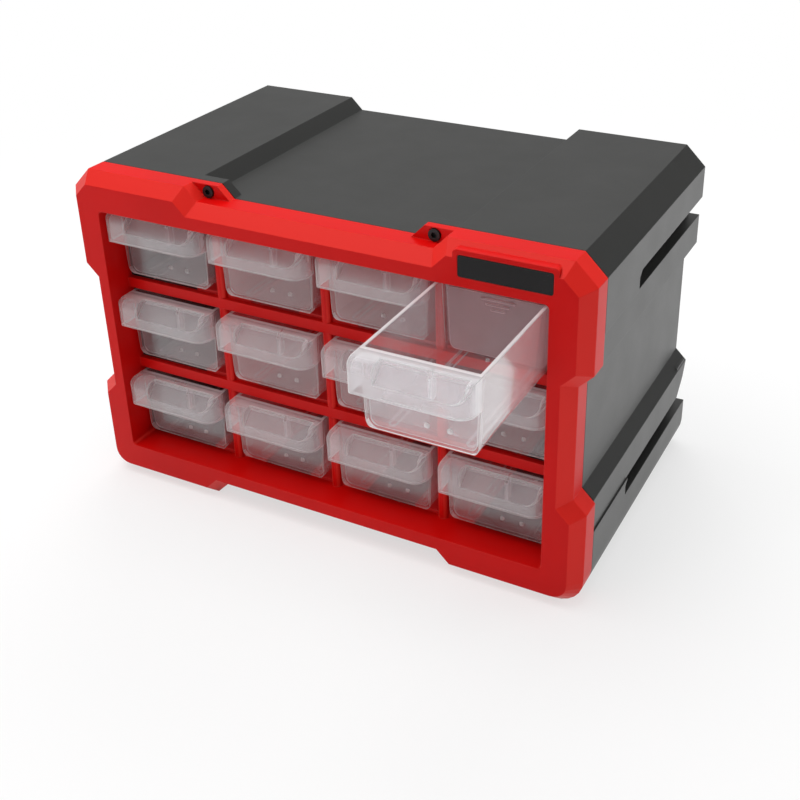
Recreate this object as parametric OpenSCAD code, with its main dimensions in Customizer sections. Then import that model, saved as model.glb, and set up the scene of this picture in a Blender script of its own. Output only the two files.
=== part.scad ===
// Parts bin cabinet: a front bezel with a grid of twelve pull-out drawers,
// screwed to a deep housing. One drawer stands open with its divider in place.
// X runs to the right as seen from the front, Y runs to the back, Z is up.

/* [Cabinet] */
// Width of the rim beside the drawer opening
rim_side = 18.1; // [17:0.1:30]
// Height of the rim above the drawer opening
rim_top = 18.4; // [17.6:0.1:40]
// Overall depth, bezel face to back wall
cabinet_d = 158; // [130:1:220]
// Depth of the bezel rim
bezel_d = 17; // [15:0.5:20]
// Shadow gap between bezel and housing
shadow_gap = 0.5; // [0.3:0.1:1]
// Thickness of the moulded housing skin
skin = 2.4; // [1.8:0.1:2.8]
// Thickness of the bezel's hidden walls
bezel_wall = 2.8; // [2.2:0.1:3]

/* [Outline] */
// How far the corner bumpers stand out of the waist
bumper_step = 6.5; // [5:0.1:7]
// Height of the upper side bumper, from the top down
upper_bumper_h = 50; // [45:1:54]
// Height of the lower side bumper, from the underside up
lower_bumper_z = 50; // [46:1:54]
// Length of each top and bottom bumper, from the side inward
bumper_len = 73; // [70:0.5:73]
// Chamfer on the two top corners
top_chamfer = 10; // [8:0.5:12]
// Radius on the two bottom corners
bottom_radius = 13.5; // [10:0.5:14]
// Width of the bevel round the bezel, seen from the front
bevel_in = 5.7; // [4:0.1:5.8]
// Depth of the bevel round the bezel, seen from the side
bevel_d = 6.5; // [5:0.5:8]

/* [Drawer grid] */
// Width of a cell
cell_w = 54.2; // [52:0.1:55]
// Height of a cell
cell_h = 40.6; // [38:0.1:40.8]
// Width of a post between two cells
post_w = 5; // [4:0.1:6]
// Height of a bar between two cells
bar_h = 5.4; // [4:0.1:5.6]
// Height of the ledge under the bottom row
ledge_z = 19; // [18:0.1:20]
// Radius of the opening's corners
opening_r = 2; // [1:0.5:3]
// Depth from the bezel face to the grid
grid_y = 14; // [12:0.5:14]

/* [Runners] */
// Thickness of a partition and of a runner wall
partition_t = 2.4; // [1.6:0.1:3]
// Height of a runner rail above the bars and the ledge
rail_rise = 1.6; // [1.4:0.1:2.4]
// Half of the open strip between the two rails of a cell
rail_open_half = 13.8; // [12:0.1:15]
// Gap behind and above a partition in the housing
partition_gap = 0.3; // [0.1:0.1:0.5]

/* [Drawer] */
// Gap between a drawer's rim and the side of its cell
drawer_side_gap = 1.4; // [1:0.1:2]
// Gap between a drawer's rim and the top of its cell
drawer_top_gap = 1.9; // [1:0.1:2.2]
// Running gap under a drawer
drawer_under_gap = 0.2; // [0.1:0.05:0.3]
// Gap between a closed drawer and the back wall
drawer_back_gap = 0.4; // [0.3:0.1:2]
// Distance of a closed drawer's front wall behind the bezel face
drawer_set_in = 12.6; // [12:0.1:13.4]
// How far the open drawer is pulled out
drawer_pull = 72; // [60:1:90]
// Wall thickness of a drawer
drawer_wall = 1.5; // [1.2:0.1:1.8]
// How much narrower a drawer is at its floor, on each side
drawer_draft = 1.3; // [0.8:0.1:2]
// Radius along the two long bottom edges
drawer_radius = 5; // [3.5:0.5:6]
// Radius of the bottom edges and corners at the two ends
drawer_end_radius = 2.2; // [2:0.1:3.4]
// Width of a skid under a drawer
skid_w = 3.2; // [2.4:0.1:4]
// Height of a skid under a drawer
skid_h = 1; // [0.6:0.1:1.5]
// Distance of a skid from the inner edge of its rail
skid_inset = 1.6; // [0.8:0.1:2]
// Distance from the front wall to a skid
skid_start = 7; // [4:0.5:10]

/* [Drawer hood] */
// How far the hood stands out of the front wall
hood_out = 10.7; // [9:0.1:11.5]
// Height of the hood, from the rim to the edge of its lip
hood_h = 14.1; // [13.5:0.1:16]
// Radius of the hood's front shoulder
hood_shoulder = 5.2; // [4:0.1:6]
// Radius of the hood's right corner, seen from above
hood_corner = 7; // [5:0.5:8]
// Radius of the hood's left corner, seen from above
hood_left_corner = 1.8; // [1.8:0.1:3]
// Thickness of the hood
hood_t = 1.4; // [1.2:0.1:1.6]
// Left end of the label face from the drawer's middle
label_left = -14; // [-17:0.5:-10]
// Right end of the label face from the drawer's middle
label_right = 23; // [16:0.5:23]
// Distance from the front wall to the upper end of the label face
label_start = 4; // [3.4:0.1:5]
// Drop from the rim to the upper end of the label face
label_drop = 2.2; // [2:0.1:3.4]
// Fall of the label face from its upper end to the hood's front
label_fall = 6; // [4.5:0.1:6.5]
// Radius of the label face's lower right corner
label_corner = 6; // [3:0.5:7]
// Place of the hood's gusset from the drawer's middle
gusset_x = 6; // [0:0.5:10]
// Thickness of the hood's gusset
gusset_t = 1.4; // [1:0.1:1.6]
// How far the hood's gusset stands out of the front wall
gusset_out = 3.8; // [2:0.1:5]
// Height from the edge of the lip to the gusset
gusset_rise = 1; // [1:0.5:4]
// Place of the left pip on the front wall from the drawer's middle
pip_x = 2.6; // [-4:0.1:6]
// Distance between the two pips on the front wall
pip_pitch = 9.8; // [6:0.1:12]
// Height of the pips above the drawer's underside
pip_z = 9; // [8:0.5:12]
// Radius of a pip
pip_r = 1.1; // [0.8:0.1:1.3]

/* [Divider] */
// Distance from the drawer's front wall to its divider
groove_y = 71; // [50:0.5:90]
// Thickness of the divider
divider_t = 1.6; // [1:0.1:2]
// Clearance of the divider in its grooves and over the floor
divider_gap = 0.2; // [0.15:0.05:0.3]
// Distance from the rim down to the divider's top
divider_drop = 4.5; // [2:0.5:8]
// Radius of the half-round ribs that hold the divider
groove_rib_r = 1.9; // [1.7:0.1:2.4]
// Length of the longest grip bar on the divider
grip_len = 15.5; // [14:0.5:20]
// How much shorter each next grip bar is
grip_step = 4.6; // [3:0.1:5]
// Height of a grip bar
grip_bar_h = 1.1; // [0.8:0.1:1.6]
// Distance between grip bars
grip_pitch = 2.3; // [2:0.1:3]
// How far a grip bar stands out of the divider
grip_out = 0.5; // [0.3:0.1:0.8]

/* [Side slots] */
// Distance from the bezel face to the front end of a slot
side_slot_y = 61; // [50:1:80]
// Distance from the top down to the lower edge of the upper slot
upper_slot_drop = 35.5; // [32:0.5:40]
// Height of the upper slot
upper_slot_h = 9.6; // [8:0.1:11]
// Lower edge of the lower slot
lower_slot_z = 26; // [24:0.5:28]
// Height of the lower slot
lower_slot_h = 8; // [6:0.1:9]
// Bevel on a slot's upper front corner
slot_bevel = 3; // [2:0.5:5]
// Depth of the shallow step beside each slot
flank_step = 0.8; // [0.4:0.1:1]
// How far the lip over the lower slot recedes at the back
lip_recess = 12; // [8:1:16]

/* [Screws] */
// Distance of each screw from the inner end of its bumper
screw_out = 2.5; // [1.5:0.5:4]
// Height of each screw above the waist of the bezel
screw_rise = 3.1; // [3:0.1:3.3]
// Radius of a screw head
screw_head_r = 2.75; // [2.4:0.05:2.8]
// Length of a screw head
screw_head_l = 3; // [2.5:0.1:3.5]
// How far a screw head stands out of its tab
screw_proud = 1; // [0.5:0.1:1.5]
// Radius of a screw shank
screw_shank_r = 1.5; // [1.2:0.1:1.8]
// Length of a screw shank
screw_shank_l = 6; // [5:0.5:8]
// Radial clearance of a screw in the tab
screw_gap = 0.2; // [0.1:0.05:0.25]
// Width across the hexagon socket
screw_socket = 2.5; // [2:0.1:3]
// Depth of the hexagon socket
screw_socket_d = 1.6; // [1:0.1:2]
// Thickness of the screw tab beside each top bumper
tab_t = 4; // [3.8:0.1:5]
// Reach of the screw tab beyond the bumper
tab_len = 14; // [13:0.5:16]
// Length of the housing's screw boss behind the tab
boss_l = 5; // [5:0.5:7]

/* [Name plate] */
// Width of the bare plate
plate_w = 42; // [36:0.5:43]
// Height of the bare plate
plate_h = 9.6; // [8:0.1:10]
// Thickness of the plate
plate_t = 1; // [0.8:0.1:1.4]
// Corner radius of the plate
plate_r = 0.9; // [0.5:0.1:1.5]
// Distance from the plate's right end to the cabinet's side
plate_side = 16.6; // [16:0.1:18]
// Distance from the bezel's opening up to the plate
plate_rise = 4.6; // [4:0.1:5.2]
// Gap round the plate in its pocket
plate_gap = 0.2; // [0.1:0.05:0.3]
// Margin of the raised pad round the plate
pad_margin = 2.4; // [1.8:0.1:2.8]

/* [Hidden] */
$fn = 48;
// Steps in each quarter of a rounded outline
arc_steps = 6;
// Cutting tools pass this far beyond the face that they cut
over = 1;
columns = 4;
rows = 3;
// Grid, which sets the cabinet's width and height
column_pitch = cell_w + post_w;
row_pitch = cell_h + bar_h;
opening_half = (columns * cell_w + (columns - 1) * post_w) / 2;
opening_top = ledge_z + rows * cell_h + (rows - 1) * bar_h;
cabinet_w = 2 * (opening_half + rim_side);
cabinet_h = opening_top + rim_top;
// Outline
half_w = cabinet_w / 2;
waist_half = half_w - bumper_step;
waist_h = cabinet_h - bumper_step;
bumper_start_x = half_w - bumper_len;
upper_bumper_z = cabinet_h - upper_bumper_h;
// In the rest pose the cabinet and its open drawer are centred on Y together
reach = drawer_pull + hood_out - drawer_set_in;
origin_y = (cabinet_d - reach) / 2;
// Housing: its tongue plugs into the hollow back of the bezel
housing_y = bezel_d + shadow_gap;
back_inner_y = cabinet_d - skin;
tongue_gap = 0.3;
tongue_t = 2;
tongue_l = 8;
tongue_in = bezel_wall + tongue_gap;
tongue_y = housing_y - tongue_l;
flange_back_y = housing_y + skin;
slot_floor_x = waist_half - skin;
upper_slot_z = cabinet_h - upper_slot_drop;
// Partitions and runner walls
wall_end_y = back_inner_y - partition_gap;
wall_step = tongue_in + tongue_t - skin + partition_gap;
rail_reach = column_pitch / 2 - rail_open_half;
// Drawer
drawer_w = cell_w - 2 * drawer_side_gap;
drawer_h = cell_h - rail_rise - drawer_under_gap - skid_h - drawer_top_gap;
drawer_l = back_inner_y - drawer_back_gap - drawer_set_in;
rim_half = drawer_w / 2;
skid_x = rail_open_half + skid_inset + skid_w / 2;
skid_end = drawer_l - drawer_end_radius;
groove_half = divider_t / 2 + divider_gap;
grip_bars = 3;
label_slope = label_fall / (hood_out - label_start);
floor_pip_x = -3;
floor_pip_r = 0.8;
// Screws
screw_x = bumper_start_x - screw_out;
screw_z = waist_h + screw_rise;
tab_y = bezel_d - tab_t;
screw_seat_y = tab_y - screw_proud + screw_head_l;
// Plate
plate_x = half_w - plate_side - plate_w;
plate_z = opening_top + plate_rise;
pad_r = 2;

// Middle of a drawer column, counted from the left
function column_x(c) = (c - (columns + 1) / 2) * column_pitch;
// Top of the rails under a drawer row, counted from the top
function rail_top(r) = ledge_z + rail_rise + (rows - r) * row_pitch;
function drawer_z(r) = rail_top(r) + drawer_under_gap + skid_h;
function drawer_name(r, c) = str("drawer_r", r, "_c", c);

function arc(centre, r, a0, a1) = [
    for (k = [0 : arc_steps])
        let (a = a0 + (a1 - a0) * k / arc_steps)
        centre + r * [cos(a), sin(a)]
];
function mirrored(points) = [
    for (k = [len(points) - 1 : -1 : 0]) [-points[k][0], points[k][1]]
];
function round_rect(x0, x1, z0, z1, r) = concat(
    arc([x1 - r, z0 + r], r, -90, 0),
    arc([x1 - r, z1 - r], r, 0, 90),
    arc([x0 + r, z1 - r], r, 90, 180),
    arc([x0 + r, z0 + r], r, 180, 270)
);

// Every edge of an outline moved inward by d
function inward(a, b) = let (along = (b - a) / norm(b - a)) [-along[1], along[0]];
function inset(points, d) = [
    for (k = [0 : len(points) - 1])
        let (
            n = len(points),
            before = inward(points[(k + n - 1) % n], points[k]),
            after = inward(points[k], points[(k + 1) % n])
        )
        points[k] + d * (before + after) / (1 + before * after)
];

// Right half of the cabinet's outline, from the waist underneath up to the waist on top
outline_right = concat(
    [
        [bumper_start_x, bumper_step],
        [bumper_start_x + bumper_step, 0]
    ],
    arc([half_w - bottom_radius, bottom_radius], bottom_radius, -90, 0),
    [
        [half_w, lower_bumper_z],
        [waist_half, lower_bumper_z + bumper_step],
        [waist_half, upper_bumper_z - bumper_step],
        [half_w, upper_bumper_z],
        [half_w, cabinet_h - top_chamfer],
        [half_w - top_chamfer, cabinet_h],
        [bumper_start_x + bumper_step, cabinet_h],
        [bumper_start_x, waist_h]
    ]
);
outline = concat(outline_right, mirrored(outline_right));

// Y is counted from the bezel face in every shape below
module in_frame() {
    translate([0, -origin_y, 0]) children();
}

// Stands a flat X-Z shape up and gives it depth from y0 to y1
module upright(y0, y1) {
    translate([0, y1, 0]) rotate([90, 0, 0]) linear_extrude(y1 - y0) children();
}

// Turns a flat Y-Z shape to run along X from x0 to x1
module sideways(x0, x1) {
    translate([x0, 0, 0]) rotate([90, 0, 90]) linear_extrude(x1 - x0) children();
}

module block(x0, x1, y0, y1, z0, z1) {
    translate([x0, y0, z0]) cube([x1 - x0, y1 - y0, z1 - z0]);
}

module cabinet_shape(d, y0, y1) {
    upright(y0, y1) polygon(inset(outline, d));
}

module both_sides() {
    children();
    mirror([1, 0, 0]) children();
}

module one_side(side) {
    mirror([side < 0 ? 1 : 0, 0, 0]) children();
}

// ---- Front bezel ----

// The bevel runs from the inset front outline back to the full one, and the rim goes on
// to the rear edge. Both ends are made too long and then cut square.
module rim_body() {
    n = len(outline);
    front = inset(outline, bevel_in * (1 + over / bevel_d));
    difference() {
        polyhedron(
            points = concat(
                [for (p = front) [p[0], -over, p[1]]],
                [for (y = [bevel_d, bezel_d + over], p = outline) [p[0], y, p[1]]]
            ),
            faces = concat(
                [[for (k = [n - 1 : -1 : 0]) k]],
                [[for (k = [0 : n - 1]) 2 * n + k]],
                [
                    for (ring = [0, n], k = [0 : n - 1])
                        [ring + k, ring + (k + 1) % n, ring + n + (k + 1) % n, ring + n + k]
                ]
            )
        );
        for (y = [[-2 * over, 0], [bezel_d, bezel_d + 2 * over]])
            block(-cabinet_w, cabinet_w, y[0], y[1], -over, cabinet_h + over);
    }
}

// Slanted tab beside a top bumper, rooted in the waist and in the bumper
module tab(y0, y1) {
    start = bumper_start_x - tab_len;
    root = bumper_start_x + 2 * bumper_step;
    upright(y0, y1) polygon([
        [start, waist_h - over],
        [start, waist_h],
        [start + bumper_step, cabinet_h],
        [root, cabinet_h],
        [root, waist_h - over]
    ]);
}

module opening(margin, y0, y1) {
    upright(y0, y1) polygon(round_rect(
        -opening_half - margin, opening_half + margin,
        ledge_z - margin, opening_top + margin, opening_r + margin
    ));
}

// Round-fronted posts and flat bars divide the opening into cells
module grid() {
    for (c = [1 : columns - 1]) {
        x = column_x(c) + column_pitch / 2;
        intersection() {
            translate([x, grid_y + post_w / 2, ledge_z])
                cylinder(h = opening_top - ledge_z, d = post_w);
            block(x - post_w, x + post_w, grid_y, bezel_d, ledge_z, opening_top);
        }
    }
    for (r = [1 : rows - 1]) {
        top = rail_top(r) - rail_rise;
        block(-opening_half, opening_half, grid_y, bezel_d, top - bar_h, top);
    }
}

module hollow_back() {
    difference() {
        cabinet_shape(bezel_wall, bevel_d, bezel_d + over);
        opening(bezel_wall, bevel_d - over, bezel_d + 2 * over);
    }
}

module plate_shape(margin, y0, y1, r) {
    upright(y0, y1) polygon(round_rect(
        plate_x - margin, plate_x + plate_w + margin,
        plate_z - margin, plate_z + plate_h + margin, r
    ));
}

module front_bezel() {
    color([0.75, 0.1, 0.1]) in_frame() {
        difference() {
            union() {
                rim_body();
                both_sides() tab(tab_y, bezel_d);
                plate_shape(pad_margin, 0, bevel_d, pad_r);
            }
            opening(0, -over, bezel_d + over);
            hollow_back();
            plate_shape(plate_gap, -over, plate_t, plate_r + plate_gap);
            both_sides() {
                screw_bore(tab_y - over, screw_seat_y, screw_head_r + screw_gap);
                screw_bore(tab_y, bezel_d + over, screw_shank_r + screw_gap);
            }
        }
        grid();
    }
}

module name_plate() {
    color([0.08, 0.08, 0.08]) in_frame() plate_shape(0, 0, plate_t, plate_r);
}

// ---- Screws ----

module screw_bore(y0, y1, r) {
    translate([screw_x, y0, screw_z]) rotate([-90, 0, 0]) cylinder(h = y1 - y0, r = r);
}

module cap_screw(side) {
    head_y = screw_seat_y - screw_head_l;
    color([0.1, 0.1, 0.1]) in_frame() one_side(side) difference() {
        union() {
            screw_bore(head_y, screw_seat_y, screw_head_r);
            screw_bore(head_y + screw_socket_d, screw_seat_y + screw_shank_l, screw_shank_r);
        }
        translate([screw_x, head_y - over, screw_z]) rotate([-90, 0, 0])
            cylinder(h = screw_socket_d + over, r = screw_socket / sqrt(3), $fn = 6);
    }
}

// ---- Housing ----

// Blind walls round a side slot, on the inside of the housing
module slot_trough(z0, z1) {
    block(slot_floor_x, half_w - skin / 2, side_slot_y - skin, back_inner_y + skin / 2,
        z0 - skin, z1 + skin);
}

// Channel of a side slot, open at the side and at the back
module slot_channel(z0, z1) {
    sideways(waist_half, half_w + over) polygon([
        [side_slot_y, z0],
        [cabinet_d + over, z0],
        [cabinet_d + over, z1],
        [side_slot_y + slot_bevel, z1],
        [side_slot_y, z1 - slot_bevel]
    ]);
}

// The rear end of the lip over the lower slot leans forward
module lip_cut(z0, z1) {
    sideways(waist_half, half_w + over) polygon([
        [cabinet_d, z1],
        [cabinet_d - lip_recess / 3, z0 + (z1 - z0) / 2],
        [cabinet_d - lip_recess, z0],
        [cabinet_d + over, z0],
        [cabinet_d + over, z1]
    ]);
}

module flank_cut(z0, z1) {
    block(half_w - flank_step, half_w + over, housing_y - over, cabinet_d + over, z0, z1);
}

module housing() {
    upper_slot_top = upper_slot_z + upper_slot_h;
    lower_slot_top = lower_slot_z + lower_slot_h;
    color([0.24, 0.24, 0.23]) in_frame() difference() {
        union() {
            difference() {
                union() {
                    cabinet_shape(0, housing_y, cabinet_d);
                    cabinet_shape(tongue_in, tongue_y, housing_y + over);
                }
                cabinet_shape(tongue_in + tongue_t, tongue_y - over, flange_back_y + over);
                cabinet_shape(skin, flange_back_y, back_inner_y);
            }
            both_sides() {
                tab(housing_y, housing_y + boss_l);
                slot_trough(upper_slot_z, upper_slot_top);
                slot_trough(lower_slot_z, lower_slot_top);
                block(slot_floor_x, half_w - skin / 2, cabinet_d - lip_recess - skin,
                    back_inner_y + skin / 2, lower_slot_top, lower_bumper_z + skin);
            }
        }
        both_sides() {
            slot_channel(upper_slot_z, upper_slot_top);
            slot_channel(lower_slot_z, lower_slot_top);
            lip_cut(lower_slot_top, lower_bumper_z);
            flank_cut(upper_bumper_z - over, upper_slot_z);
            flank_cut(lower_slot_top, lower_bumper_z + over);
            screw_bore(housing_y - over, screw_seat_y + screw_shank_l, screw_shank_r);
        }
    }
}

// ---- Partitions and runner walls ----

// Upright wall on the housing's floor, stepped to clear the housing's front flange
module standing_wall(x0, x1, floor_z, ceiling_z) {
    block(x0, x1, bezel_d, wall_end_y, floor_z + wall_step, ceiling_z - wall_step);
    block(x0, x1, flange_back_y + over + partition_gap, wall_end_y, floor_z, ceiling_z - partition_gap);
}

module rail(x0, x1, y0, top) {
    block(x0, x1, y0, wall_end_y, top - rail_rise, top);
}

module partition(c) {
    x = column_x(c) + column_pitch / 2;
    color([0.7, 0.08, 0.08]) in_frame() {
        standing_wall(x - partition_t / 2, x + partition_t / 2, bumper_step + skin, waist_h - skin);
        for (r = [1 : rows]) rail(x - rail_reach, x + rail_reach, bezel_d, rail_top(r));
    }
}

// The outer rails hang on a wall of their own, and shelves tie it to the housing's side
module runner_wall(side) {
    x = columns * column_pitch / 2;
    color([0.2, 0.2, 0.2]) in_frame() one_side(side) {
        standing_wall(x - partition_t / 2, x + partition_t / 2, skin, cabinet_h - skin);
        for (r = [1 : rows]) {
            rail(x - rail_reach, x, bezel_d, rail_top(r));
            if (r < rows) rail(x, slot_floor_x, flange_back_y + over + partition_gap, rail_top(r));
        }
    }
}

// ---- Drawers ----
// A drawer's own zero is its front wall's face, its middle and its underside

function tub_side_x(z) =
    rim_half - drawer_draft * (drawer_h - z) / (drawer_h - drawer_radius);

// Cross-section of the tub, with its walls moved in by d and its top at z1
function tub_half(d, z1) = concat(
    arc([tub_side_x(drawer_radius) - drawer_radius, drawer_radius], drawer_radius - d, -90, 0),
    [[tub_side_x(z1) - d, z1]]
);
function tub_section(d, z1) = concat(tub_half(d, z1), mirrored(tub_half(d, z1)));

module tub(d, z1) {
    end_r = drawer_end_radius - d;
    intersection() {
        upright(d, drawer_l - d) polygon(tub_section(d, z1));
        sideways(-drawer_w, drawer_w)
            polygon(round_rect(d, drawer_l - d, d, z1 + 2 * drawer_end_radius, end_r));
        linear_extrude(z1 + over)
            polygon(round_rect(d - rim_half - over, rim_half + over - d, d, drawer_l - d, end_r));
    }
}

// Side profile of the hood in Y-Z, with its skin moved in by d
function hood_profile(d, z0) = concat(
    [[drawer_wall / 2, z0], [drawer_wall / 2, drawer_h - d]],
    arc([hood_shoulder - hood_out, drawer_h - hood_shoulder], hood_shoulder - d, 90, 180),
    [[d - hood_out, z0]]
);
function hood_plan_half(d, y1, corner) = concat(
    arc([rim_half - corner, corner - hood_out], corner - d, -90, 0),
    [[rim_half - d, y1]]
);

module hood_solid(d, z0, y1) {
    right = hood_plan_half(d, y1, hood_corner);
    left = mirrored(hood_plan_half(d, y1, hood_left_corner));
    intersection() {
        sideways(-drawer_w, drawer_w) polygon(hood_profile(d, z0));
        linear_extrude(drawer_h + over) polygon(concat(right, left));
    }
}

// Slanted cut that leaves the label face, grown by d
module label_cut(d) {
    function face_z(y) =
        drawer_h - label_drop + label_slope * (y + label_start) - d * norm([1, label_slope]);
    front_y = -hood_out - over;
    top = drawer_h + over;
    corner_r = label_corner + d;
    right = label_right + d;
    low = face_z(d - hood_out);
    intersection() {
        sideways(label_left - d, right) polygon([
            [d - label_start, top],
            [d - label_start, face_z(d - label_start)],
            [front_y, face_z(front_y)],
            [front_y, top]
        ]);
        upright(front_y - over, d) polygon(concat(
            [[label_left - d, top], [label_left - d, low]],
            arc([right - corner_r, low + corner_r], corner_r, -90, 0),
            [[right, top]]
        ));
    }
}

module hood() {
    lip_z = drawer_h - hood_h;
    difference() {
        hood_solid(0, lip_z, drawer_wall / 2);
        label_cut(0);
        difference() {
            hood_solid(hood_t, lip_z - over, 0);
            label_cut(hood_t);
        }
    }
    intersection() {
        difference() {
            hood_solid(0, lip_z, drawer_wall / 2);
            label_cut(0);
        }
        block(gusset_x - gusset_t / 2, gusset_x + gusset_t / 2, -gusset_out, drawer_wall,
            lip_z + gusset_rise, drawer_h);
    }
}

module skid() {
    translate([skid_x, 0, -skid_h]) linear_extrude(skid_h + drawer_wall / 2) {
        translate([0, skid_start + skid_w / 2]) circle(d = skid_w);
        translate([-skid_w / 2, skid_start + skid_w / 2])
            square([skid_w, skid_end - skid_start - skid_w / 2]);
    }
}

// Two half-round ribs on each side wall hold the divider's edges
module groove_ribs() {
    intersection() {
        tub(drawer_wall / 2, drawer_h);
        both_sides() for (s = [-1, 1]) {
            translate([
                rim_half - drawer_wall,
                groove_y + s * (groove_half + groove_rib_r),
                drawer_radius + groove_rib_r
            ]) {
                cylinder(h = drawer_h, r = groove_rib_r);
                sphere(groove_rib_r);
            }
        }
    }
}

module drawer(r, c, pulled) {
    color([0.85, 0.84, 0.88, 0.6]) in_frame()
        translate([column_x(c), drawer_set_in - pulled, drawer_z(r)]) {
            difference() {
                tub(0, drawer_h);
                tub(drawer_wall, drawer_h + over);
            }
            hood();
            both_sides() skid();
            groove_ribs();
            for (k = [0, 1]) translate([pip_x + k * pip_pitch, 0, pip_z]) sphere(pip_r);
            translate([floor_pip_x, groove_y - skid_w - groove_half, drawer_wall / 2])
                cylinder(h = drawer_wall, r = floor_pip_r);
        }
}

// ---- Divider ----

module drawer_divider() {
    bottom = drawer_wall + divider_gap;
    top = drawer_h - divider_drop;
    color([0.8, 0.79, 0.82, 0.6]) in_frame()
        translate([column_x(columns), drawer_set_in - drawer_pull + groove_y, drawer_z(1)]) {
            upright(-divider_t / 2, divider_t / 2) intersection() {
                polygon(tub_section(bottom, drawer_h));
                translate([-rim_half, 0]) square([drawer_w, top]);
            }
            for (k = [0 : grip_bars - 1]) {
                half = (grip_len - k * grip_step) / 2;
                z = top - (k + 1) * grip_pitch;
                block(-half, half, -divider_t / 2 - grip_out, 0, z - grip_bar_h / 2, z + grip_bar_h / 2);
            }
        }
}

front_bezel();
name_plate();
cap_screw(-1);  // screw_left
cap_screw(1);  // screw_right
housing();
partition(1);  // partition_left
partition(2);  // partition_middle
partition(3);  // partition_right
runner_wall(-1);  // runner_wall_left
runner_wall(1);  // runner_wall_right
for (r = [1 : rows], c = [1 : columns])
    drawer(r, c, r == 1 && c == columns ? drawer_pull : 0);
drawer_divider();
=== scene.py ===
import math

import bmesh
import bpy
from mathutils import Matrix, Vector

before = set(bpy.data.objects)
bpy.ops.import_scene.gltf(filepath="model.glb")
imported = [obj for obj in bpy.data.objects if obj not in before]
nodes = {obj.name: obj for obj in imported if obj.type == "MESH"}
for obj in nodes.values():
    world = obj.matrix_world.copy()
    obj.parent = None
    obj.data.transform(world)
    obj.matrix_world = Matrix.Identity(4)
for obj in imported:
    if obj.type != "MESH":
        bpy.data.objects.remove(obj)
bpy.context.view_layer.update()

MM = 0.001

# ---- Camera ----
# It stands at the front right of the cabinet, looks down on it and leans a little, as the
# photograph does. Place, turn and lens come from the cabinet's straight edges in the photograph.
camera_place = Vector((269.9, -438.8, 365.8)) * MM
camera_azimuth = math.radians(27.63)
camera_elevation = math.radians(26.97)
camera_lean = math.radians(-0.99)

level = Vector((math.cos(camera_azimuth), math.sin(camera_azimuth), 0))
sight = Vector((
    -math.sin(camera_azimuth) * math.cos(camera_elevation),
    math.cos(camera_azimuth) * math.cos(camera_elevation),
    -math.sin(camera_elevation),
))
upward = level.cross(sight)
image_right = math.cos(camera_lean) * level + math.sin(camera_lean) * upward
image_up = math.cos(camera_lean) * upward - math.sin(camera_lean) * level

lens = bpy.data.cameras.new("photo_view")
lens.lens = 53.54
lens.sensor_width = 36
lens.shift_x = -0.0396
lens.shift_y = -0.115
camera = bpy.data.objects.new("photo_view", lens)
bpy.context.scene.collection.objects.link(camera)
turn = Matrix((image_right, image_up, -sight)).transposed().to_4x4()
camera.matrix_world = Matrix.Translation(camera_place) @ turn
bpy.context.scene.camera = camera
bpy.context.scene.view_settings.view_transform = "Standard"

# ---- Studio ----
# A white sweep lies under and round the cabinet. Large soft boxes hang over it and behind it,
# a weak one fills the front and one stands to the right. What gloss mirrors of the room is
# bright on the left and dark on the right, so that the facets of one moulding differ.


def add_node(tree, kind, inputs=None, **settings):
    """Adds a shader node; an input is given as a value or as another node's output."""
    node = tree.nodes.new(kind)
    for name, value in settings.items():
        setattr(node, name, value)
    for name, value in (inputs or {}).items():
        if isinstance(value, bpy.types.NodeSocket):
            tree.links.new(value, node.inputs[name])
        else:
            node.inputs[name].default_value = value
    return node


def sum_of(tree, operation, *terms, clamp=False):
    """One Math node on two or three terms, each a number or an output."""
    inputs = dict(enumerate(terms))
    return add_node(tree, "ShaderNodeMath", inputs, operation=operation, use_clamp=clamp).outputs[0]


def ramp(tree, value, low, high, first=0.0, last=1.0, **settings):
    """Goes from first to last as value goes from low to high, and stays there beyond."""
    ends = {"Value": value, 1: low, 2: high, 3: first, 4: last}
    return add_node(tree, "ShaderNodeMapRange", ends, **settings).outputs[0]


def seen_directly(tree):
    """1 for rays that come from the camera, from gloss or through clear plastic."""
    path = add_node(tree, "ShaderNodeLightPath").outputs
    seen = sum_of(tree, "ADD", path["Is Camera Ray"], path["Is Glossy Ray"])
    return sum_of(tree, "ADD", seen, path["Is Transmission Ray"], clamp=True)


def soft_box(name, place, aim, width, height, watts, mirrored):
    """A rectangular lamp at place that points at aim; gloss shows it where mirrored is set."""
    light = bpy.data.lights.new(name, "AREA")
    light.shape = "RECTANGLE"
    light.size = width
    light.size_y = height
    light.energy = watts
    lamp = bpy.data.objects.new(name, light)
    bpy.context.scene.collection.objects.link(lamp)
    lamp.location = place
    lamp.visible_glossy = mirrored
    lamp.rotation_euler = (Vector(aim) - Vector(place)).to_track_quat("-Z", "Y").to_euler()


world = bpy.data.worlds.new("white_studio")
world.use_nodes = True
bpy.context.scene.world = world
sky = world.node_tree
sky.nodes.clear()
sky_diffuse = 0.36
sky_left = 0.42
sky_right = 0.12
path = add_node(sky, "ShaderNodeLightPath").outputs
heading = add_node(sky, "ShaderNodeTexCoord").outputs["Generated"]
sideways = add_node(sky, "ShaderNodeSeparateXYZ", {0: heading}).outputs["X"]
left_side = -0.1
right_side = 0.35
sky_mirrored = ramp(sky, sideways, left_side, right_side, sky_left, sky_right)
mirrored = sum_of(sky, "ADD", path["Is Glossy Ray"], path["Is Transmission Ray"], clamp=True)
gain = sum_of(sky, "SUBTRACT", sky_mirrored, sky_diffuse)
strength = sum_of(sky, "MULTIPLY_ADD", mirrored, gain, sky_diffuse)
strength = sum_of(sky, "MAXIMUM", strength, path["Is Camera Ray"])
backdrop = add_node(sky, "ShaderNodeBackground", {"Color": (1, 1, 1, 1), "Strength": strength})
add_node(sky, "ShaderNodeOutputWorld", {"Surface": backdrop.outputs[0]})

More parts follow.
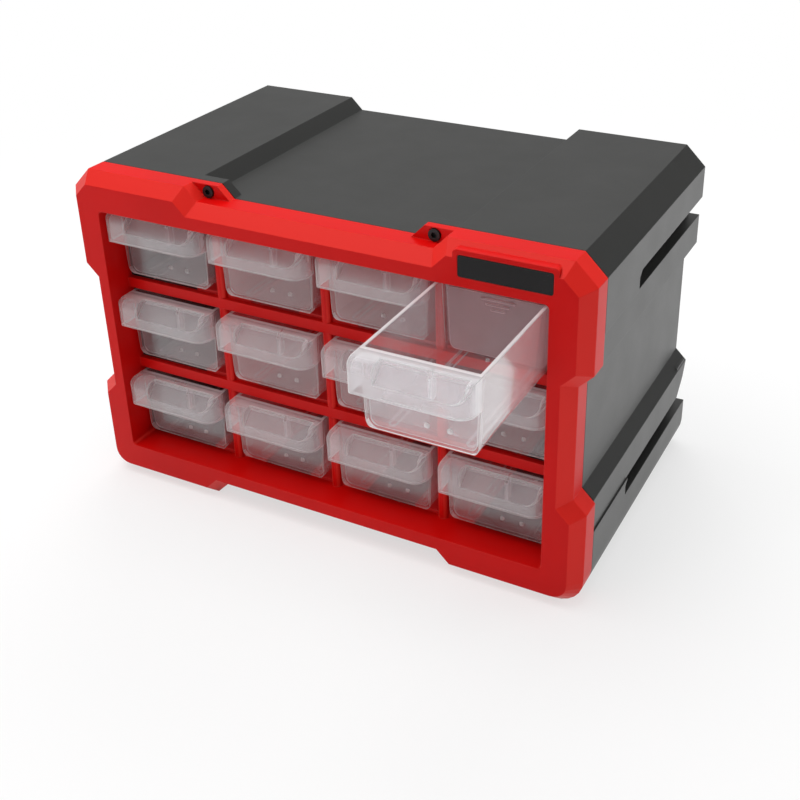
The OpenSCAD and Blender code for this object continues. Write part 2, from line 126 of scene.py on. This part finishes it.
floor_radius = 4
floor_shape = bmesh.new()
bmesh.ops.create_circle(floor_shape, cap_ends=True, radius=floor_radius, segments=96)
floor_mesh = bpy.data.meshes.new("floor")
floor_shape.to_mesh(floor_mesh)
floor_shape.free()
floor = bpy.data.objects.new("floor", floor_mesh)
bpy.context.scene.collection.objects.link(floor)
floor_paint = bpy.data.materials.new("white_sweep")
floor_paint.use_nodes = True
floor_tree = floor_paint.node_tree
floor_tree.nodes.clear()
near_glow = 0.64
near_radius = 0.22
white_radius = 0.7
paper = add_node(floor_tree, "ShaderNodeBsdfDiffuse", {"Color": (0.82, 0.82, 0.82, 1)})
glow = add_node(floor_tree, "ShaderNodeEmission", {"Color": (1, 1, 1, 1)})
spot = add_node(floor_tree, "ShaderNodeNewGeometry").outputs["Position"]
away = add_node(floor_tree, "ShaderNodeVectorMath", {0: spot}, operation="LENGTH").outputs["Value"]
bleached = ramp(
    floor_tree, away, near_radius, white_radius, near_glow, 1.0, interpolation_type="SMOOTHSTEP"
)
share = sum_of(floor_tree, "MULTIPLY", seen_directly(floor_tree), bleached)
sheet = {0: share, 1: paper.outputs[0], 2: glow.outputs[0]}
lit = add_node(floor_tree, "ShaderNodeMixShader", sheet)
add_node(floor_tree, "ShaderNodeOutputMaterial", {"Surface": lit.outputs[0]})
floor_mesh.materials.append(floor_paint)

above_all = (-0.3, -0.15, 1.25)
behind = (-0.35, 1.1, 0.95)
front_left = (-0.6, -1.4, 0.6)
right_back = (1.3, 0.9, 0.35)
soft_box("top_soft_box", above_all, (0, 0, 0.1), width=1.2, height=1.2, watts=15, mirrored=False)
soft_box("back_soft_box", behind, (0, -0.1, 0.1), width=1.2, height=0.8, watts=9, mirrored=False)
soft_box("front_soft_box", front_left, (0, 0, 0.08), width=0.9, height=0.7, watts=1.5, mirrored=True)
soft_box("side_soft_box", right_back, (0, 0.05, 0.08), width=1.2, height=0.8, watts=10, mirrored=False)

# ---- Housing ----
# The deep shell behind the bezel, injection moulded in charcoal plastic with a fine
# spark-eroded texture on its outside. It stands on its corner bumpers.


def group_tree(name, inputs, outputs):
    """A shader node group with the named inputs and outputs, each a (name, kind) pair."""
    tree = bpy.data.node_groups.new(name, "ShaderNodeTree")
    for socket, kind in inputs:
        tree.interface.new_socket(socket, in_out="INPUT", socket_type=kind)
    for socket, kind in outputs:
        tree.interface.new_socket(socket, in_out="OUTPUT", socket_type=kind)
    given = tree.nodes.new("NodeGroupInput").outputs
    asked = tree.nodes.new("NodeGroupOutput").inputs
    return tree, given, asked


def mixed_colour(tree, share, first, second):
    """The first colour, with the given share of the second."""
    inputs = {0: share, 6: first, 7: second}
    return add_node(tree, "ShaderNodeMix", inputs, data_type="RGBA").outputs[2]


def noise(tree, place, scale, detail):
    """Noise between 0 and 1, with scale patches to the metre."""
    inputs = {"Vector": place, "Scale": scale, "Detail": detail}
    return add_node(tree, "ShaderNodeTexNoise", inputs).outputs[0]


def swing(tree, value, width):
    """A noise turned into a number that lies around 0, within half of width."""
    return sum_of(tree, "MULTIPLY_ADD", value, width, -width / 2)


def flatness(tree, rounded):
    """1 on a flat face, and less where a rounded edge's normal turns away from it."""
    flat = add_node(tree, "ShaderNodeNewGeometry").outputs["Normal"]
    inputs = {0: rounded, 1: flat}
    return add_node(tree, "ShaderNodeVectorMath", inputs, operation="DOT_PRODUCT").outputs["Value"]


def moulded_skin_group():
    """Plastic as it leaves the mould: slow drifts of shade, fine grain, and paler edges painted on as
    a patchy edge highlight.
    """
    drift_scale = 14.0
    patch_scale = 55.0
    palest_shade = 1.06
    deepest_shade = 0.93
    least_edge_highlight = 0.35
    tree, given, asked = group_tree(
        "moulded_skin",
        [
            ("Colour", "NodeSocketColor"),
            ("Edge Highlight Colour", "NodeSocketColor"),
            ("Edge Highlight Share", "NodeSocketFloat"),
            ("Grain Size", "NodeSocketFloat"),
            ("Roughness", "NodeSocketFloat"),
            ("Edge Radius", "NodeSocketFloat"),
        ],
        [
            ("Colour", "NodeSocketColor"),
            ("Roughness", "NodeSocketFloat"),
            ("Height", "NodeSocketFloat"),
            ("Rounded Normal", "NodeSocketVector"),
        ],
    )
    place = add_node(tree, "ShaderNodeTexCoord").outputs["Object"]
    grain = noise(tree, place, sum_of(tree, "DIVIDE", 1.0, given["Grain Size"]), 2.0)
    drift = noise(tree, place, drift_scale, 3.0)
    patch_noise = noise(tree, place, patch_scale, 5.0)
    edge_radius = {"Radius": given["Edge Radius"]}
    rounded = add_node(tree, "ShaderNodeBevel", edge_radius, samples=6).outputs[0]
    # The edges get a paler colour in patches: a painted edge highlight.
    edge = ramp(tree, flatness(tree, rounded), 0.995, 0.90)
    patchy = ramp(tree, patch_noise, 0.35, 0.65, least_edge_highlight, 1.0)
    edge_highlight = sum_of(tree, "MULTIPLY", sum_of(tree, "MULTIPLY", edge, patchy), given["Edge Highlight Share"])
    shade = ramp(tree, drift, 0.3, 0.7, deepest_shade, palest_shade)
    shaded = add_node(
        tree, "ShaderNodeVectorMath", {0: given["Colour"], "Scale": shade}, operation="SCALE"
    ).outputs[0]
    colour = mixed_colour(tree, edge_highlight, shaded, given["Edge Highlight Colour"])
    rough = sum_of(tree, "ADD", given["Roughness"], swing(tree, grain, 0.10))
    rough = sum_of(tree, "ADD", rough, swing(tree, patch_noise, 0.12), clamp=True)
    tree.links.new(colour, asked["Colour"])
    tree.links.new(rough, asked["Roughness"])
    tree.links.new(grain, asked["Height"])
    tree.links.new(rounded, asked["Rounded Normal"])
    return tree


moulded_skin = moulded_skin_group()


# The colour and share given for the edges paint a highlight along every edge of the moulding.
def moulded_plastic(name, colour, edge_highlight, edge_highlight_share, roughness, grain, bump, edge=0.5 * MM):
    """Opaque moulded plastic; returns the material and its Principled node."""
    material = bpy.data.materials.new(name)
    material.use_nodes = True
    tree = material.node_tree
    tree.nodes.clear()
    skin = add_node(
        tree,
        "ShaderNodeGroup",
        {
            "Colour": (*colour, 1),
            "Edge Highlight Colour": (*edge_highlight, 1),
            "Edge Highlight Share": edge_highlight_share,
            "Grain Size": grain,
            "Roughness": roughness,
            "Edge Radius": edge,
        },
        node_tree=moulded_skin,
    ).outputs
    bumped = add_node(
        tree,
        "ShaderNodeBump",
        {
            "Strength": bump,
            "Distance": 0.05 * MM,
            "Height": skin["Height"],
            "Normal": skin["Rounded Normal"],
        },
    ).outputs[0]
    plastic = add_node(
        tree,
        "ShaderNodeBsdfPrincipled",
        {
            "Base Color": skin["Colour"],
            "Roughness": skin["Roughness"],
            "Normal": bumped,
        },
    )
    add_node(tree, "ShaderNodeOutputMaterial", {"Surface": plastic.outputs[0]})
    return material, plastic


def finish_node(name, material):
    """Gives a CAD node its material."""
    piece = nodes[name]
    piece.data.materials.clear()
    piece.data.materials.append(material)


charcoal, charcoal_shader = moulded_plastic(
    "charcoal_plastic",
    colour=(0.016, 0.0165, 0.015),
    edge_highlight=(0.07, 0.07, 0.068),
    edge_highlight_share=0.35,
    roughness=0.46,
    grain=0.45 * MM,
    bump=0.35,
)
charcoal_shader.inputs["Specular IOR Level"].default_value = 1.0
charcoal_shader.inputs["IOR"].default_value = 1.7
finish_node("housing", charcoal)

# ---- Partitions and runner walls ----
# Between the columns stand plain red partitions with a runner rail on each side; a faint red
# glow is painted on them. The outer rails hang on black walls of their own, moulded in the same
# plastic as the housing.

partition_red, partition_shader = moulded_plastic(
    "partition_red_plastic",
    colour=(0.44, 0.005, 0.005),
    edge_highlight=(0.62, 0.06, 0.05),
    edge_highlight_share=0.3,
    roughness=0.42,
    grain=0.5 * MM,
    bump=0.2,
)
# A faint red glow is painted on the partitions: painted light that lifts the dim cells.
partition_shader.inputs["Emission Color"].default_value = (1.0, 0.02, 0.02, 1)
partition_shader.inputs["Emission Strength"].default_value = 0.07
for side in ("left", "middle", "right"):
    finish_node(f"partition_{side}", partition_red)

runner_black, _ = moulded_plastic(
    "runner_wall_black_plastic",
    colour=(0.014, 0.014, 0.015),
    edge_highlight=(0.07, 0.07, 0.07),
    edge_highlight_share=0.3,
    roughness=0.5,
    grain=0.5 * MM,
    bump=0.2,
)
for side in ("left", "right"):
    finish_node(f"runner_wall_{side}", runner_black)

# ---- Front bezel ----
# One red moulding with thick corner bumpers, a bevel all round, and the posts and bars of
# the drawer grid. Its face is smoother than the housing, and its slanted facets are painted
# paler, a painted highlight where they catch the light.


def slanted(tree, square, slant):
    """1 on a face whose nearest axis is further from its normal than the cosine slant says,
    and 0 where an axis is nearer than square says."""
    flat = add_node(tree, "ShaderNodeNewGeometry").outputs["Normal"]
    sizes = add_node(tree, "ShaderNodeVectorMath", {0: flat}, operation="ABSOLUTE").outputs[0]
    parts = add_node(tree, "ShaderNodeSeparateXYZ", {0: sizes}).outputs
    nearest = sum_of(tree, "MAXIMUM", sum_of(tree, "MAXIMUM", parts[0], parts[1]), parts[2])
    return ramp(tree, nearest, square, slant)


bezel_red, bezel_shader = moulded_plastic(
    "bezel_red_plastic",
    colour=(0.59, 0.003, 0.0025),
    edge_highlight=(0.80, 0.07, 0.05),
    edge_highlight_share=0.35,
    roughness=0.34,
    grain=0.35 * MM,
    bump=0.18,
    edge=0.6 * MM,
)
bezel_tree = bezel_red.node_tree
face_colour = bezel_shader.inputs["Base Color"].links[0].from_socket
# The slanted facets are painted a paler red: a painted highlight.
facet_highlight_colour = (0.70, 0.020, 0.014, 1)
facet_highlight_mask = slanted(bezel_tree, 0.95, 0.88)
facet_highlighted_colour = mixed_colour(bezel_tree, facet_highlight_mask, face_colour, facet_highlight_colour)
bezel_tree.links.new(facet_highlighted_colour, bezel_shader.inputs["Base Color"])
bezel_shader.inputs["Specular IOR Level"].default_value = 0.13
finish_node("front_bezel", bezel_red)

# ---- Name plate ----
# A thin gloss black plate, glued in a shallow pocket on a raised pad. It is bare.

plate_black, plate_shader = moulded_plastic(
    "plate_gloss_black",
    colour=(0.012, 0.012, 0.012),
    edge_highlight=(0.06, 0.06, 0.06),
    edge_highlight_share=0.5,
    roughness=0.24,
    grain=0.6 * MM,
    bump=0.06,
    edge=0.3 * MM,
)
plate_shader.inputs["Specular IOR Level"].default_value = 0.2
finish_node("name_plate", plate_black)

# ---- Screws ----
# Two socket cap screws, turned in steel and black oxided, hold the bezel on the housing
# beside the top bumpers.

screw_black, screw_shader = moulded_plastic(
    "screw_black_oxide",
    colour=(0.022, 0.022, 0.024),
    edge_highlight=(0.16, 0.15, 0.14),
    edge_highlight_share=0.6,
    roughness=0.38,
    grain=0.25 * MM,
    bump=0.25,
    edge=0.2 * MM,
)
screw_shader.inputs["Metallic"].default_value = 0.6
for side in ("left", "right"):
    finish_node(f"screw_{side}", screw_black)

# ---- Drawers ----
# Twelve bins with pull hoods, moulded in natural polypropylene. The plastic is milky: it
# scatters more light where a wall is seen slantwise, and shines white along the rims.

row_pitch = 46.0 * MM
drawer_floor = 21.8 * MM
drawer_height = 35.9 * MM
skid_space = 2.0 * MM
pip_top = 12.0 * MM
closed_front = -31.35 * MM
open_front = closed_front - 72.0 * MM
open_drawer = (1, 4)
longest_way = 4.0
most_scattered = 0.92
passed_through = 0.5
gloss_square = 0.04
gloss_slantwise = 0.94


def mixed_shader(tree, share, first, second):
    """The first shader, with the given share of the second."""
    return add_node(tree, "ShaderNodeMixShader", {0: share, 1: first, 2: second}).outputs[0]


def milky_plastic(
    name, haze, hood_haze, solid, front_solid, hood_solid, edge_solid, rim_solid, gloss, front
):
    """Translucent polypropylene. The values named solid are the shares of light that a wall,
    the front wall, the hood, a sharp edge and the rim scatter, seen squarely. Front is the
    place of the front wall, beyond which the hood lies."""
    material = bpy.data.materials.new(name)
    material.use_nodes = True
    tree = material.node_tree
    tree.nodes.clear()
    place = add_node(tree, "ShaderNodeTexCoord").outputs["Object"]
    flow_scale, grain_scale = 60.0, 900.0
    flow = noise(tree, place, flow_scale, 4.0)
    grain = noise(tree, place, grain_scale, 2.0)
    rounded = add_node(tree, "ShaderNodeBevel", {"Radius": 1.0 * MM}, samples=8).outputs[0]
    flat = add_node(tree, "ShaderNodeNewGeometry").outputs["Normal"]

    # Which part of the drawer it is, by place and by the way that the face looks
    along = add_node(tree, "ShaderNodeSeparateXYZ", {0: place}).outputs
    above = sum_of(tree, "SUBTRACT", along["Z"], drawer_floor)
    height = sum_of(tree, "WRAP", above, row_pitch - skid_space, -skid_space)
    upward = add_node(tree, "ShaderNodeSeparateXYZ", {0: flat}).outputs["Z"]
    hood = ramp(tree, along["Y"], front - 0.1 * MM, front - 0.4 * MM)
    body = sum_of(tree, "SUBTRACT", 1.0, hood)
    near_front = ramp(tree, along["Y"], front + 2.6 * MM, front + 2.0 * MM)
    front_wall = sum_of(tree, "MULTIPLY", near_front, body)
    rim = sum_of(tree, "MULTIPLY", ramp(tree, upward, 0.8, 0.95), body)
    near_top = ramp(tree, height, drawer_height - 1.0 * MM, drawer_height - 0.5 * MM)
    rim = sum_of(tree, "MULTIPLY", rim, near_top)
    pips = sum_of(tree, "MULTIPLY", hood, ramp(tree, height, pip_top, pip_top - 0.5 * MM))

    # The share of light that is scattered: a slanted way through a wall is a longer one
    share = sum_of(tree, "MULTIPLY_ADD", hood, hood_solid - solid, solid)
    share = sum_of(tree, "MULTIPLY_ADD", front_wall, front_solid - solid, share)
    share = sum_of(tree, "ADD", share, ramp(tree, flow, 0.3, 0.7, -0.02, 0.02))
    facing = add_node(tree, "ShaderNodeLayerWeight", {"Blend": 0.5}).outputs["Facing"]
    squarely = sum_of(tree, "MAXIMUM", sum_of(tree, "SUBTRACT", 1.0, facing), 1 / longest_way)
    way = sum_of(tree, "DIVIDE", 1.0, squarely)
    clear_share = sum_of(tree, "POWER", sum_of(tree, "SUBTRACT", 1.0, share), way)
    edge = ramp(tree, flatness(tree, rounded), 0.99, 0.85)
    edge = sum_of(tree, "MULTIPLY", edge, edge_solid)
    scattered = sum_of(tree, "ADD", sum_of(tree, "SUBTRACT", 1.0, clear_share), edge)
    fillet = sum_of(tree, "MULTIPLY", slanted(tree, 0.985, 0.9), front_wall)
    scattered = sum_of(tree, "MULTIPLY_ADD", fillet, 1.5 * edge_solid, scattered)
    bright = sum_of(tree, "MULTIPLY", sum_of(tree, "MAXIMUM", rim, pips), rim_solid)
    scattered = sum_of(tree, "MAXIMUM", scattered, bright)
    scattered = sum_of(tree, "MINIMUM", scattered, most_scattered)

    rough = sum_of(tree, "ADD", gloss, swing(tree, flow, 0.08))
    bumped = add_node(
        tree,
        "ShaderNodeBump",
        {"Strength": 0.06, "Distance": 0.05 * MM, "Height": grain, "Normal": rounded},
    ).outputs[0]
    tint = mixed_colour(tree, hood, (*haze, 1), (*hood_haze, 1))
    lit = add_node(
        tree,
        "ShaderNodeBsdfPrincipled",
        {"Base Color": tint, "Roughness": 0.6, "Specular IOR Level": 0.0, "Normal": bumped},
    ).outputs[0]
    lit_through = add_node(
        tree, "ShaderNodeBsdfTranslucent", {"Color": tint, "Normal": bumped}
    ).outputs[0]
    milk = mixed_shader(tree, passed_through, lit, lit_through)
    clear_colour = {"Color": (0.98, 0.97, 0.98, 1)}
    clear = add_node(tree, "ShaderNodeBsdfTransparent", clear_colour).outputs[0]
    wall = mixed_shader(tree, scattered, clear, milk)
    shine = add_node(
        tree,
        "ShaderNodeBsdfAnisotropic",
        {"Color": (1, 1, 1, 1), "Roughness": rough, "Normal": bumped},
    ).outputs[0]
    slantwise = sum_of(tree, "POWER", facing, 3.5)
    shine_gain = gloss_slantwise - gloss_square
    shine_share = sum_of(tree, "MULTIPLY_ADD", slantwise, shine_gain, gloss_square)
    glossy = mixed_shader(tree, shine_share, wall, shine)
    add_node(tree, "ShaderNodeOutputMaterial", {"Surface": glossy})
    return material


# The closed drawers' haze is tinted pink and grey: painted red light from the partitions and bars, and
# painted shade of the dim cells. The open drawer is a lit copy of the same plastic, with a whiter hood
# and a more solid front, hood, edges and rims.
shaded_closed_plastic = milky_plastic(
    "drawer_polypropylene",
    haze=(0.95, 0.90, 0.905),
    hood_haze=(0.93, 0.90, 0.905),
    solid=0.085,
    front_solid=0.085,
    hood_solid=0.17,
    edge_solid=0.35,
    rim_solid=0.5,
    gloss=0.10,
    front=closed_front,
)
lit_open_plastic = milky_plastic(
    "open_drawer_polypropylene",
    haze=(0.95, 0.92, 0.93),
    hood_haze=(0.95, 0.96, 0.97),
    solid=0.05,
    front_solid=0.15,
    hood_solid=0.20,
    edge_solid=0.55,
    rim_solid=0.72,
    gloss=0.10,
    front=open_front,
)
for row in (1, 2, 3):
    for column in (1, 2, 3, 4):
        plastic = lit_open_plastic if (row, column) == open_drawer else shaded_closed_plastic
        finish_node(f"drawer_r{row}_c{column}", plastic)
bpy.context.scene.cycles.transparent_max_bounces = 40

# ---- Divider ----
# A loose wall of the same plastic stands in the open drawer's grooves, with three grip bars.

# Its haze is painted pink: painted red light from the red cell round it.
divider_plastic = milky_plastic(
    "divider_polypropylene",
    haze=(0.84, 0.62, 0.64),
    hood_haze=(0.84, 0.62, 0.64),
    solid=0.3,
    front_solid=0.3,
    hood_solid=0.3,
    edge_solid=0.5,
    rim_solid=0.5,
    gloss=0.14,
    front=open_front,
)
finish_node("drawer_divider", divider_plastic)
